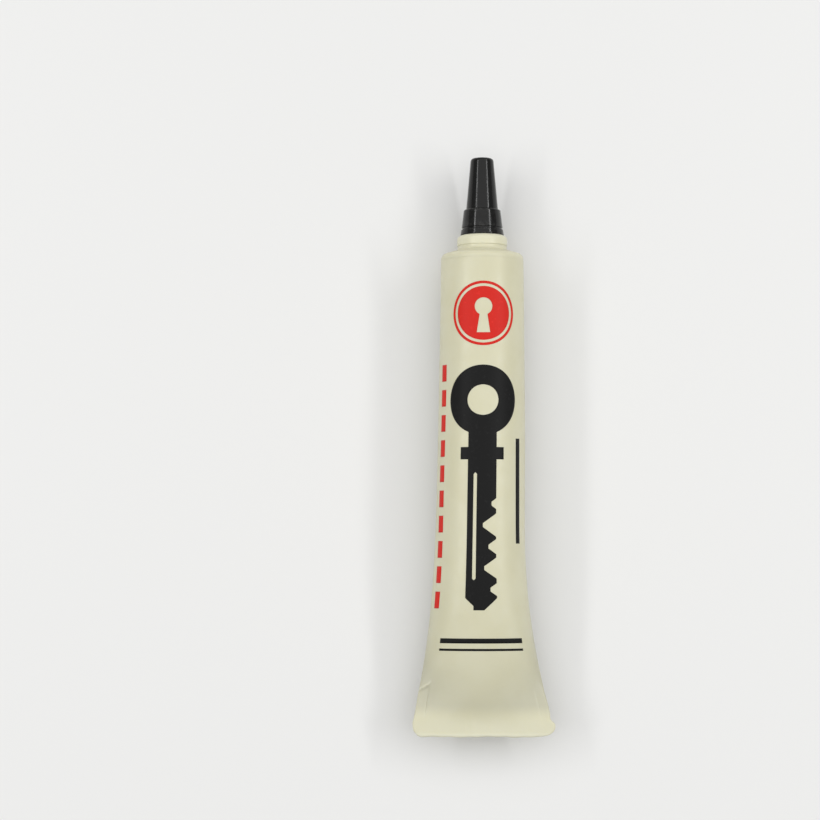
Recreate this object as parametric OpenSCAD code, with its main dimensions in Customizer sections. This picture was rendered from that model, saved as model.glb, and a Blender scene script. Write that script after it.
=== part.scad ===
// Squeeze tube of dry graphite lock lubricant with a push-on cap.
// It lies on its back: the cap points to +Y, the flat sealed end to -Y, the front to +Z.
// All sizes are in millimetres.

/* [Sleeve] */
// Outside diameter at the round shoulder end
sleeve_d = 22; // [20:0.5:30]
// Length from the shoulder to the sealed end
sleeve_len = 126.4; // [100:0.1:180]
// Wall of the soft sleeve
sleeve_wall = 0.8; // [0.6:0.05:1.2]
// Share of the sleeve's length, from the shoulder down, that keeps its depth
round_share = 0.55; // [0.4:0.01:0.6]
// Share of the way down at which the sleeve is half flattened
half_flat_share = 0.88; // [0.82:0.01:0.92]

/* [Sealed band] */
// Width across the pressed flat end
seal_w = 37.6; // [34:0.2:46]
// Height of the pressed band
seal_h = 4.5; // [3.6:0.1:8]
// Thickness of the pressed band
seal_t = 1.2; // [0.9:0.05:1.8]
// Radius of the two end corners
seal_corner_r = 3.2; // [1:0.1:3.4]
// How far each side of the pressed band spreads out between its top and its corner
seal_flare = 0.5; // [0.2:0.05:1]
// Width of the welded edge at each side of the cavity
seal_edge = 1.2; // [0.8:0.1:2.5]

/* [Shoulder] */
// Rise of the shoulder from the sleeve to the neck
shoulder_h = 2.9; // [2.4:0.1:5]
// Radius of the rounded outer edge
shoulder_round = 1.7; // [0.6:0.1:2]
// Neck left showing under the nozzle's ring
neck_h = 1.1; // [0.6:0.1:3]
// Wall of the neck
neck_wall = 1.4; // [1:0.1:1.8]
// Depth of the welding rim inside the sleeve
rim_h = 4; // [2:0.1:8]
// Wall of the welding rim and of the shoulder
rim_wall = 1; // [0.7:0.05:1.4]

/* [Nozzle] */
// Height of the ring between neck and cap
ring_h = 2.8; // [2:0.1:5]
// How far the ring stands out past the cap's lip
ring_margin = 0.85; // [0.6:0.05:1.4]
// How far the ring stands out past the neck
ring_step = 0.15; // [0.1:0.05:0.6]
// Radius of the ring's rounded top edge
ring_round = 1.3; // [0.4:0.1:1.6]
// Depth of the plug in the neck
plug_h = 5; // [3:0.1:8]
// Wall of the plug
plug_wall = 1; // [0.7:0.05:1.4]
// Outside diameter at the spout's tip
spout_tip_d = 3; // [2.6:0.1:3.4]
// Diameter of the outlet
outlet_d = 1.6; // [1:0.1:1.8]
// Length of the straight outlet
outlet_len = 2.4; // [2:0.1:4]

/* [Cap] */
// Diameter of the cap's flat top
cap_top_d = 6; // [5.6:0.1:7]
// Diameter at the foot of the long cone
cap_cone_d = 8.5; // [7.8:0.1:9]
// Length of the long cone
cap_cone_h = 14.1; // [10:0.1:20]
// Diameter at the top of the skirt
skirt_top_d = 9.8; // [9.4:0.1:10.4]
// Diameter at the foot of the skirt
skirt_base_d = 11; // [10.6:0.1:11.4]
// Height of the skirt
skirt_h = 4.9; // [4:0.1:8]
// Diameter of the lip at the cap's base
lip_d = 11.7; // [11.5:0.1:12.5]
// Height of the lip
lip_h = 2; // [1.4:0.1:3]
// Height of the groove over the lip
groove_h = 0.4; // [0.2:0.05:0.6]
// Depth of the groove
groove_depth = 0.25; // [0.1:0.05:0.3]
// Wall of the cap
cap_wall = 0.8; // [0.6:0.05:0.9]
// Thickness of the cap's closed top
cap_top_wall = 1.6; // [1.2:0.1:2.5]
// Radius of the top edge
cap_round = 0.9; // [0.4:0.1:1.2]
// Length of the stopper pin inside the outlet
pin_depth = 1.5; // [0.8:0.1:1.9]

/* [Graphite] */
// Share of the cavity's length where the settled powder begins
powder_start_share = 0.06; // [0.05:0.01:0.4]
// Share of the cavity's length where the settled powder ends
powder_end_share = 0.97; // [0.8:0.01:0.98]

/* [Hidden] */
// Clearances between pieces
rim_fit = 0.1;
plug_fit = 0.05;
cap_fit = 0.05;
spout_gap = 0.3;
land_gap = 0.4;
tip_gap = 0.5;
pin_gap = 0.1;
powder_gap = 0.1;
// Overrun of every cut
overrun = 1;
// Lap of the sleeve into its pressed band
seal_lap = 0.6;
// Thin end of the cavity at the seal
slit_t = 0.3;
// Share of the sleeve's spread that comes as an even taper
draft_share = 0.19;
// Share by which the flattened sleeve's sides are drawn to an edge
edge_share = 0.5;
// Top of the powder: pairs of a share of its length and a share of the cavity's half depth there
powder_level_shares = [[0, -0.9], [0.1, -0.3], [0.7, -0.3], [1, 0.4]];
// Counts of the faceted surfaces
sleeve_sides = 32;
outer_rings = 30;
inner_rings = 26;
powder_sides = 24;
powder_rings = 21;
// Share by which the rings crowd towards the seal, where 1 spaces them evenly
ring_crowd_share = 1.6;
// Smooth round faces
$fn = 96;

sleeve_r = sleeve_d / 2;
cavity_r = sleeve_r - sleeve_wall;
flat_power = ln(0.5) / ln((half_flat_share - round_share) / (1 - round_share));
outer_end = [(seal_w - seal_flare) / 2, seal_t / 2];
cavity_end = [outer_end[0] - seal_edge, slit_t / 2];

lip_r = lip_d / 2;
ring_r = lip_r + ring_margin;
neck_r = ring_r - ring_step;
neck_bore_r = neck_r - neck_wall;
plug_r = neck_bore_r - plug_fit;
plug_bore_r = plug_r - plug_wall;
outlet_r = outlet_d / 2;

cap_h = lip_h + skirt_h + cap_cone_h;
skirt_z = lip_h + skirt_h;
cap_bore_r = skirt_top_d / 2 - cap_wall;
cap_bore_h = skirt_z - 2 * cap_wall;
cone_bore_r = cap_cone_d / 2 - cap_wall;
cone_bore_top_r = cap_top_d / 2 - cap_wall;
cap_ceiling_z = cap_h - cap_top_wall;
land_r = cap_bore_r - cap_fit;
land_h = cap_bore_h - land_gap;
spout_root_r = cone_bore_r - spout_gap;
spout_tip_z = cap_ceiling_z - tip_gap;

// Places along the axis, from the sealed end
sleeve_top_z = sleeve_len;
neck_top_z = sleeve_top_z + shoulder_h + neck_h;
cap_base_z = neck_top_z + ring_h;
total_len = cap_base_z + cap_h;

// Share of the flattening reached at s, which runs from 0 at the shoulder to 1 at the seal
function flat_share(s) = pow(max(0, s - round_share) / (1 - round_share), flat_power);
function spread_share(s) = draft_share * s + (1 - draft_share) * flat_share(s);
// Half width and half depth of a section that starts round with radius r
function section(s, r, end) = [
    r + (end[0] - r) * spread_share(s),
    r + (end[1] - r) * flat_share(s)
];
function edge_power(s) = 1 + edge_share * flat_share(s);
// Point of a section at angle q: an ellipse whose sides sharpen as it flattens
function section_point(q, half, p, z) = [
    half[0] * cos(q),
    half[1] * sign(sin(q)) * pow(abs(sin(q)), p),
    z
];
// Steps from 0 to 1 that close up towards the seal
function step_share(i, count) = 1 - pow(1 - i / (count - 1), ring_crowd_share);

// Rings of points from the shoulder down to the height foot_z. Their flats touch the round section, and
// one flat faces the floor, so the tube lies still
function skin(r, end, foot_z, count, sides) = [
    for (i = [0 : count - 1], j = [0 : sides - 1])
        let (s = step_share(i, count))
        section_point(
            180 * (2 * j + 1) / sides,
            section(s, r, end) / cos(180 / sides),
            edge_power(s),
            sleeve_top_z + (foot_z - sleeve_top_z) * s)
];
// Triangles between the rings that start at point number base
function skin_faces(base, count, sides) = [
    for (i = [0 : count - 2], j = [0 : sides - 1])
        let (a = base + i * sides + j, b = base + i * sides + (j + 1) % sides)
        each [[a, b, b + sides], [a, b + sides, a + sides]]
];
function turned(faces) = [for (f = faces) [for (k = [len(f) - 1 : -1 : 0]) f[k]]];

// Turns the upright tube on its back and centres it on the floor
module lay_down() {
    translate([0, -total_len / 2, sleeve_r])
        rotate([-90, 0, 0])
            children();
}

// Walls of the sleeve: outer skin, cavity skin and the open rim at the shoulder
module sleeve_shell() {
    outer = skin(sleeve_r, outer_end, seal_h - seal_lap, outer_rings, sleeve_sides);
    cavity = skin(cavity_r, cavity_end, seal_h, inner_rings, sleeve_sides);
    inner_base = len(outer);
    outer_foot = (outer_rings - 1) * sleeve_sides;
    inner_foot = inner_base + (inner_rings - 1) * sleeve_sides;
    rim = [
        for (j = [0 : sleeve_sides - 1])
            let (k = (j + 1) % sleeve_sides)
            each [[j, inner_base + j, inner_base + k], [j, inner_base + k, k]]
    ];
    polyhedron(
        points = concat(outer, cavity),
        faces = concat(
            skin_faces(0, outer_rings, sleeve_sides),
            turned(skin_faces(inner_base, inner_rings, sleeve_sides)),
            rim,
            [[for (j = [0 : sleeve_sides - 1]) outer_foot + j]],
            [[for (j = [sleeve_sides - 1 : -1 : 0]) inner_foot + j]]
        ));
}

// Pressed band: its sides flare down to two rounded end corners
module seal_band() {
    half_w = seal_w / 2;
    rotate([90, 0, 0])
        linear_extrude(height = seal_t, center = true) {
            polygon([
                [-half_w, seal_corner_r],
                [half_w, seal_corner_r],
                [half_w - seal_flare, seal_h],
                [seal_flare - half_w, seal_h]
            ]);
            translate([seal_corner_r - half_w, 0])
                square([seal_w - 2 * seal_corner_r, seal_corner_r]);
            for (side = [-1, 1])
                translate([side * (half_w - seal_corner_r), seal_corner_r])
                    circle(r = seal_corner_r);
        }
}

// Soft white sleeve, pressed flat and welded shut at its far end
module tube_sleeve() {
    color([0.87, 0.85, 0.74])
        lay_down() {
            sleeve_shell();
            seal_band();
        }
}

// Outline of the shoulder and neck, from the axis outwards
module shoulder_outline() {
    difference() {
        union() {
            polygon([
                [0, 0],
                [sleeve_r, 0],
                [sleeve_r - shoulder_round, shoulder_round],
                [neck_r, shoulder_h],
                [0, shoulder_h]
            ]);
            intersection() {
                translate([sleeve_r - shoulder_round, 0])
                    circle(r = shoulder_round);
                square([sleeve_r, shoulder_round]);
            }
            square([neck_r, shoulder_h + neck_h]);
            translate([0, -rim_h])
                square([cavity_r - rim_fit, rim_h]);
        }
        translate([0, -rim_h - overrun])
            square([neck_bore_r, rim_h + shoulder_h + neck_h + 2 * overrun]);
        polygon([
            [0, -rim_h - overrun],
            [cavity_r - rim_fit - rim_wall, -rim_h - overrun],
            [cavity_r - rim_fit - rim_wall, shoulder_round - rim_wall],
            [neck_r, shoulder_h - rim_wall],
            [0, shoulder_h - rim_wall]
        ]);
    }
}

// Moulded shoulder and neck, welded to the sleeve by its rim
module tube_shoulder() {
    color([0.87, 0.85, 0.76])
        lay_down()
            translate([0, 0, sleeve_top_z])
                rotate_extrude()
                    shoulder_outline();
}

// Outline of the ring with its rounded top edge
module ring_outline() {
    square([ring_r - ring_round, ring_h]);
    square([ring_r, ring_h - ring_round]);
    translate([ring_r - ring_round, ring_h - ring_round])
        circle(r = ring_round);
}

// White push-in nozzle: plug, ring, land for the cap and tapered spout
module nozzle() {
    color([0.92, 0.91, 0.86])
        lay_down()
            translate([0, 0, cap_base_z])
                difference() {
                    union() {
                        translate([0, 0, -ring_h])
                            rotate_extrude()
                                ring_outline();
                        translate([0, 0, -ring_h - plug_h])
                            cylinder(r = plug_r, h = plug_h + ring_h);
                        cylinder(r = land_r, h = land_h);
                        translate([0, 0, land_h])
                            cylinder(r1 = spout_root_r, r2 = spout_tip_d / 2, h = spout_tip_z - land_h);
                    }
                    translate([0, 0, -ring_h - plug_h])
                        cylinder(
                            r1 = plug_bore_r,
                            r2 = outlet_r,
                            h = ring_h + plug_h + spout_tip_z - outlet_len);
                    translate([0, 0, spout_tip_z - outlet_len - overrun])
                        cylinder(r = outlet_r, h = outlet_len + 2 * overrun);
                    translate([0, 0, -ring_h - plug_h - overrun])
                        cylinder(r = plug_bore_r, h = overrun);
                }
}

// Outside of the cap: lip, groove, skirt, ledge and long cone with a rounded top edge
module cap_outline() {
    polygon([
        [0, 0],
        [lip_r, 0],
        [skirt_base_d / 2, lip_h],
        [skirt_top_d / 2, skirt_z],
        [0, skirt_z]
    ]);
    polygon([
        [0, skirt_z],
        [cap_cone_d / 2, skirt_z],
        [cap_top_d / 2, cap_h - cap_round],
        [0, cap_h - cap_round]
    ]);
    translate([cap_top_d / 2 - cap_round, cap_h - cap_round])
        circle(r = cap_round);
    translate([0, cap_h - 2 * cap_round])
        square([cap_top_d / 2 - cap_round, 2 * cap_round]);
}

// Space inside the cap around the stopper pin
module cap_bore_outline() {
    pin_r = outlet_r - pin_gap;
    pin_foot_z = spout_tip_z - pin_depth;
    translate([0, -overrun])
        square([cap_bore_r, cap_bore_h + overrun]);
    difference() {
        polygon([
            [0, cap_bore_h - overrun],
            [cone_bore_r, cap_bore_h - overrun],
            [cone_bore_r, cap_bore_h],
            [cone_bore_top_r, cap_ceiling_z],
            [0, cap_ceiling_z]
        ]);
        translate([0, pin_foot_z])
            square([pin_r, cap_ceiling_z - pin_foot_z]);
    }
}

// Black push-on cap with a stopper pin that closes the outlet
module cap() {
    color([0.05, 0.05, 0.05])
        lay_down()
            translate([0, 0, cap_base_z])
                rotate_extrude()
                    difference() {
                        cap_outline();
                        cap_bore_outline();
                        translate([skirt_base_d / 2 - groove_depth, lip_h - groove_h])
                            square([overrun, groove_h]);
                    }
}

// Settled graphite, level along the tube and heaped against the sealed end
module graphite_powder() {
    grain = [powder_gap, powder_gap];
    points = [
        for (i = [0 : powder_rings - 1])
            let (
                t = i / (powder_rings - 1),
                s = powder_start_share + (powder_end_share - powder_start_share) * t,
                p = edge_power(s),
                level = lookup(t, powder_level_shares),
                start = -asin(sign(level) * pow(abs(level), 1 / p))
            )
            for (j = [0 : powder_sides])
                section_point(
                    start + (180 - 2 * start) * j / powder_sides,
                    section(s, cavity_r, cavity_end) - grain,
                    p,
                    sleeve_top_z + (seal_h - sleeve_top_z) * s)
    ];
    ring = powder_sides + 1;
    foot = (powder_rings - 1) * ring;
    color([0.2, 0.2, 0.21])
        lay_down()
            polyhedron(
                points = points,
                faces = concat(
                    skin_faces(0, powder_rings, ring),
                    [[for (j = [ring - 1 : -1 : 0]) j]],
                    [[for (j = [0 : ring - 1]) foot + j]]
                ));
}

tube_sleeve();
tube_shoulder();
nozzle();
cap();
graphite_powder();
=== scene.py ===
from math import radians

import bmesh
import bpy
import numpy as np
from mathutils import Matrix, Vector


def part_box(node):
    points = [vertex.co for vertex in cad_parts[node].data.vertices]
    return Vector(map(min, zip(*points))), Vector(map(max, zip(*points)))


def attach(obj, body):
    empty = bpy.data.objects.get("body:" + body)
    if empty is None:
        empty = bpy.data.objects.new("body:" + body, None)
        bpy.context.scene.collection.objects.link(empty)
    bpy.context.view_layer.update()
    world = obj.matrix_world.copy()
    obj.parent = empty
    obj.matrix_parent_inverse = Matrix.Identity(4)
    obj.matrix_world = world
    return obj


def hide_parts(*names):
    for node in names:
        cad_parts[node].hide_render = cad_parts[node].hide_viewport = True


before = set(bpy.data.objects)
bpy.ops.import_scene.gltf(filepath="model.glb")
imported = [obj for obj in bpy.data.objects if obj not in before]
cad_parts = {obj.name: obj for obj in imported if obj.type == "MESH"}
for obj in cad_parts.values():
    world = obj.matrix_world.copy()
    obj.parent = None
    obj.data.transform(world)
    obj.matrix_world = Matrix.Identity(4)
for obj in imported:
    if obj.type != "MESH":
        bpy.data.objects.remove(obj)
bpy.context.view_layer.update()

# Sleeve
# An extruded tube of soft white polyethylene. Its round end is welded to the shoulder. Its other end is
# pressed flat between heated jaws after filling, so the wall spreads to two sharp sides and a welded band.

MILLIMETRE = 0.001
ALONG = 1
UP = 2


def cad_places(node, axis):
    """Lowest and highest place of a CAD node along one axis, in mm to a thousandth."""
    low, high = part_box(node)
    return round(low[axis] / MILLIMETRE, 3), round(high[axis] / MILLIMETRE, 3)


SEALED_END, ROUND_END = cad_places("tube_sleeve", ALONG)
SLEEVE_LENGTH = ROUND_END - SEALED_END
SLEEVE_RADIUS = cad_places("tube_sleeve", UP)[1] / 2
SLEEVE_WALL = 0.8
BAND_HEIGHT = 4.5
BAND_HALF_THICK = 0.6
BAND_HALF_WIDTH = 18.55
BAND_FOOT = 3.9
ROUND_SHARE = 0.55
HALF_FLAT_SHARE = 0.88
FLAT_POWER = np.log(0.5) / np.log((HALF_FLAT_SHARE - ROUND_SHARE) / (1.0 - ROUND_SHARE))
DRAFT_SHARE = 0.19
SIDE_SHARPNESS = 0.5


def smooth_step(low, high, value):
    """0 at low, 1 at high, and the cubic 3t^2 - 2t^3 between them."""
    t = np.clip((value - low) / (high - low), 0.0, 1.0)
    return t * t * (3.0 - 2.0 * t)


def bump(value, centre, width):
    """A bell of height 1 at centre: e to the minus squared distance over width."""
    return np.exp(-((value - centre) / width) ** 2)


def waves(rows, first, second):
    """Sum of sine waves. Each row gives a height, the turn per unit of either place, and a phase."""
    return sum(
        height * np.sin(first_turn * first + second_turn * second + phase)
        for height, first_turn, second_turn, phase in rows
    )


def wall_halves(u, radius, end_half_width, end_half_depth, foot):
    """Half width, half depth and flattening of the wall at u mm from the sealed end.

    s runs from 0 at the shoulder to 1 at the foot. Past the round share, the depth falls with a power of
    what is left of s, and the width grows with that power and a small even taper.
    """
    s = np.clip((SLEEVE_LENGTH - u) / (SLEEVE_LENGTH - foot), 0.0, 1.0)
    flat = (np.maximum(s - ROUND_SHARE, 0.0) / (1.0 - ROUND_SHARE)) ** FLAT_POWER
    spread = DRAFT_SHARE * s + (1.0 - DRAFT_SHARE) * flat
    half_width = radius + (end_half_width - radius) * spread
    half_depth = radius + (end_half_depth - radius) * flat
    return half_width, half_depth, flat


def outside_halves(u):
    """Half width, half depth and flattening of the sleeve's outside."""
    return wall_halves(u, SLEEVE_RADIUS, BAND_HALF_WIDTH, BAND_HALF_THICK, BAND_FOOT)


# Each pair that smooth_step reads, here and below, is the place where something begins and where it is full.
FLARE_OUT = 0.17
FLARE_AT = 8.0
FLARE_SPREAD = 3.0
WAIST_IN = 0.22
WAIST_ALONG = (6.5, 4.8)
EAR_OUT = 1.08
EAR_ALONG = (4.8, 3.2)
LEFT_IN = 0.24
LEFT_ALONG = (12.0, 6.0)
RIGHT_CORNER_ACROSS = 4.4
RIGHT_CORNER_ALONG = 2.75
LEFT_CORNER_ACROSS = 2.75
LEFT_CORNER_ALONG = 2.9


def side_half_width(u, side):
    """Half width of the outside to the right or left of its middle, by the sign of side.

    It is the wall's law, changed a little on each side. The right side flares, draws in to a waist and steps
    out to an ear in the band, and the left is drawn in. Each end corner is a quarter of an ellipse.
    """
    right = side > 0.0
    flare = FLARE_OUT * bump(u, FLARE_AT, FLARE_SPREAD)
    waist = WAIST_IN * smooth_step(*WAIST_ALONG, u)
    ear = EAR_OUT * smooth_step(*EAR_ALONG, u)
    drawn_in = LEFT_IN * smooth_step(*LEFT_ALONG, u)
    corner_across = np.where(right, RIGHT_CORNER_ACROSS, LEFT_CORNER_ACROSS)
    corner_along = np.where(right, RIGHT_CORNER_ALONG, LEFT_CORNER_ALONG)
    drop = np.clip(1.0 - u / corner_along, 0.0, 1.0)
    corner = corner_across * (1.0 - np.sqrt(1.0 - drop ** 2))
    return outside_halves(u)[0] + np.where(right, flare - waist + ear, -drawn_in) - corner


BEND_ACROSS = 0.75
BEND_AT = 40.0
BEND_SPREAD = 40.0
BEND_ALONG = (SLEEVE_LENGTH, SLEEVE_LENGTH - 24.0)


def sideways_bend(u):
    """Sideways shift of the handled sleeve's middle, in mm: one slow bell, faded out at the shoulder."""
    return -BEND_ACROSS * bump(u, BEND_AT, BEND_SPREAD) * smooth_step(*BEND_ALONG, u)


# Height, angle and spread of the angle, place along and spread of the place.
DENTS = (
    (-0.16, 1.05, 0.30, 84.0, 15.0),
    (-0.13, 2.20, 0.35, 52.0, 14.0),
    (-0.18, 4.40, 0.40, 66.0, 18.0),
    (0.10, 1.60, 0.50, 34.0, 11.0),
)
DENT_WAVES = ((0.035, 3.0, 0.11, 0.0), (0.03, 2.0, -0.07, 1.3))
DENTS_FROM_SHOULDER = (SLEEVE_LENGTH - 4.0, SLEEVE_LENGTH - 16.0)
DENTS_FROM_PRESS = (6.0, 18.0)


def handling_dents(angle, u):
    """Shallow dents and swells of a handled wall, in mm: bells and two slow waves, faded at both ends."""
    dents = sum(
        height * bump(angle, at, turn_spread) * bump(u, place, spread)
        for height, at, turn_spread, place, spread in DENTS
    )
    fade = smooth_step(*DENTS_FROM_SHOULDER, u) * smooth_step(*DENTS_FROM_PRESS, u)
    return (dents + waves(DENT_WAVES, angle, u)) * fade


FOLD_AT = 12.6
FOLD_SLANT = 11.0
FOLD_SPREAD = 0.42
FOLD_ACROSS = (-0.82, -0.86)
SUNKEN_UNDER = (-0.1, -1.3)
SUNKEN_ALONG = (4.6, 8.0)
CREASE_ACROSS = 0.85
CREASE_SPREAD = 0.012
CREASE_FROM_TOP = (14.0, 11.0)
CREASE_FROM_BAND = (4.8, 6.5)


def fold_lines(across, u):
    """Three marks of the press from 0 to 1, at a place across the wall from -1 to 1.

    They are the slanted fold at the left side, the sunken patch under it, and the crease inside each side.
    """
    slant = u - FOLD_AT - FOLD_SLANT * (across + 1.0)
    at_left = smooth_step(*FOLD_ACROSS, across)
    fold = bump(slant, 0.0, FOLD_SPREAD) * at_left
    sunken = smooth_step(*SUNKEN_UNDER, slant) * smooth_step(*SUNKEN_ALONG, u) * at_left
    crease = bump(np.abs(across), CREASE_ACROSS, CREASE_SPREAD)
    crease = crease * smooth_step(*CREASE_FROM_TOP, u) * smooth_step(*CREASE_FROM_BAND, u)
    return fold, sunken, crease


FOLD_HEIGHT = 0.36
SUNKEN_DEPTH = 0.20
CREASE_DEPTH = 0.12
JAW_MARK_HEIGHT = 0.06
JAW_RIDGE_AT = -0.13
JAW_RIDGE_SPREAD = 0.012
JAW_HOLLOW_AT = -0.19
JAW_HOLLOW_SPREAD = 0.014
JAW_MARK_FROM_TOP = (5.6, 4.4)
JAW_MARK_FROM_END = (1.0, 1.6)


def press_creases(across, u, front):
    """Height of the press's marks in mm: a raised fold, a sunken patch and sunken creases.

    The jaws leave one more mark in the band, upright and beside its middle: a ridge next to a hollow. All
    but the creases are scaled by front.
    """
    fold, sunken, crease = fold_lines(across, u)
    ridge = bump(across, JAW_RIDGE_AT, JAW_RIDGE_SPREAD)
    hollow = bump(across, JAW_HOLLOW_AT, JAW_HOLLOW_SPREAD)
    jaw_mark = JAW_MARK_HEIGHT * ridge - JAW_MARK_HEIGHT * hollow
    jaw_mark = jaw_mark * smooth_step(*JAW_MARK_FROM_TOP, u) * smooth_step(*JAW_MARK_FROM_END, u)
    return (FOLD_HEIGHT * fold - SUNKEN_DEPTH * sunken + jaw_mark) * front - CREASE_DEPTH * crease


def side_sign(sine):
    """1 on the front, -1 on the back and 0 at the two sides, where a rounding error is taken off."""
    return np.sign(np.round(sine, 9))


BAND_EASE = 1.1
PLATE_POWER = 44
PLATE_ROUND = 1.0 / 3.0
PILLOW_SHARE = 0.88
PILLOW_POWER = 1.25
PILLOW_ALONG = (20.0, 6.0)
END_ROUND = 0.35
BEAD_SHARE = 0.16
BEAD_AT = 0.6
BEAD_SPREAD = 0.4
BACK_MARK_SHARE = 0.3
MARKS_FROM_SIDE = (0.02, 0.10)
TRIM_WAVES = ((0.08, 0.42, 0.0, 0.6), (0.05, 1.3, 0.0, 0.0))
TRIM_ALONG = (2.4, 0.0)
FLOOR_GAP = 0.005


def sleeve_point(angle, u):
    """Point of the sleeve's outside in mm: across, along from the sealed end, up from the axis.

    The section is an ellipse whose sides sharpen as it flattens, eased into the band. Near the seal it
    becomes a pillow between two thin side fins, and in the band a plate with rounded edges. The soft wall
    is pressed flat where it would reach under the floor.
    """
    cosine = np.cos(angle)
    sine = np.sin(angle)
    across = np.abs(cosine)
    eased = BAND_FOOT + BAND_EASE * np.logaddexp(0.0, (u - BAND_FOOT) / BAND_EASE)
    _, half_depth, flat = outside_halves(eased)
    oval = half_depth * np.abs(sine) ** (1.0 + SIDE_SHARPNESS * flat)
    plate = BAND_HALF_THICK * np.maximum(1.0 - across ** PLATE_POWER, 0.0) ** PLATE_ROUND
    dome = np.maximum(1.0 - (across / PILLOW_SHARE) ** 2, 0.0) ** PILLOW_POWER
    pillow = plate + (half_depth - BAND_HALF_THICK) * dome
    height = oval + (pillow - oval) * smooth_step(*PILLOW_ALONG, u)
    end_drop = (END_ROUND - np.minimum(u, END_ROUND)) / END_ROUND
    end_round = np.sqrt(np.clip(1.0 - end_drop ** 2, 0.0, 1.0))
    bead = 1.0 + BEAD_SHARE * bump(u, BEAD_AT, BEAD_SPREAD)
    front = np.where(sine > 0.0, 1.0, BACK_MARK_SHARE)
    marks = press_creases(cosine, u, front) * smooth_step(*MARKS_FROM_SIDE, np.abs(sine))
    height = side_sign(sine) * (height * bead + marks) * end_round
    swell = 1.0 + handling_dents(angle, u) / SLEEVE_RADIUS
    height = np.maximum(height * swell, FLOOR_GAP - SLEEVE_RADIUS)
    sideways = side_half_width(u, cosine) * cosine
    along = u + waves(TRIM_WAVES, sideways, 0.0) * smooth_step(*TRIM_ALONG, u)
    return np.stack([sideways * swell + sideways_bend(u), along, height], axis=-1)


CAVITY_END_HALF_WIDTH = 17.35
CAVITY_END_HALF_DEPTH = 0.15
SIDE_WELD_SHARE = 0.25
SIDE_WELD_ALONG = (24.0, 8.0)


def cavity_point(angle, u):
    """Point of the sleeve's inside: the outside's law, one wall smaller, drawn in where sides are welded."""
    half_width, half_depth, flat = wall_halves(
        u, SLEEVE_RADIUS - SLEEVE_WALL, CAVITY_END_HALF_WIDTH, CAVITY_END_HALF_DEPTH, BAND_HEIGHT)
    half_width = half_width * (1.0 - SIDE_WELD_SHARE * smooth_step(*SIDE_WELD_ALONG, u))
    sine = np.sin(angle)
    height = half_depth * side_sign(sine) * np.abs(sine) ** (1.0 + SIDE_SHARPNESS * flat)
    return np.stack([half_width * np.cos(angle) + sideways_bend(u), u + 0.0 * angle, height], axis=-1)


def ring_quads(rows, sides):
    """Quads between neighbouring rings of a grid that closes on itself around."""
    row = sides * np.arange(rows - 1)[:, None]
    near = np.arange(sides)[None, :]
    far = (near + 1) % sides
    return np.stack([row + near, row + far, row + sides + far, row + sides + near], axis=-1).reshape(-1, 4)


def zip_quads(first, sides):
    """Quads that close a flattened ring by joining each point of its front to the one behind it."""
    near = np.arange(sides // 2)
    far = (sides - near) % sides
    return first + np.stack([near, near + 1, (sides - near - 1) % sides, far], axis=-1)


MERGE_REACH = 2e-7
EMPTY_REACH = 1e-8
SHARP_ANGLE = radians(38.0)


def make_piece(name, points, faces, finish, body, replaced=()):
    """Mesh of one piece from points in mm along the tube, merged, turned outwards and given its finish.

    Row position is across, along from the sealed end's place, and up from the axis's height.
    """
    placed = (np.asarray(points).reshape(-1, 3) + [0.0, SEALED_END, SLEEVE_RADIUS]) * MILLIMETRE
    mesh = bpy.data.meshes.new(name)
    mesh.from_pydata(placed.tolist(), [], faces.tolist())
    shape = bmesh.new()
    shape.from_mesh(mesh)
    bmesh.ops.remove_doubles(shape, verts=shape.verts, dist=MERGE_REACH)
    bmesh.ops.dissolve_degenerate(shape, edges=shape.edges, dist=EMPTY_REACH)
    bmesh.ops.recalc_face_normals(shape, faces=shape.faces)
    shape.to_mesh(mesh)
    shape.free()
    mesh.polygons.foreach_set("use_smooth", np.ones(len(mesh.polygons), dtype=bool))
    mesh.set_sharp_from_angle(angle=SHARP_ANGLE)
    mesh.materials.append(finish)
    piece = bpy.data.objects.new(name, mesh)
    bpy.context.scene.collection.objects.link(piece)
    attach(piece, body)
    if replaced:
        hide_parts(*replaced)
    return piece


def points_of(piece):
    """Across, along from the sealed end and up from the axis, in mm, for every point of a finished piece."""
    spots = np.empty(3 * len(piece.data.vertices))
    piece.data.vertices.foreach_get("co", spots)
    return (spots.reshape(-1, 3) / MILLIMETRE - [0.0, SEALED_END, SLEEVE_RADIUS]).T


def keep_values(piece, label, values):
    """One value at each point, held between 0 and 1, for the piece's finish to read."""
    held = np.clip(values, 0.0, 1.0).astype(np.float32)
    piece.data.attributes.new(label, "FLOAT", "POINT").data.foreach_set("value", held)


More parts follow.
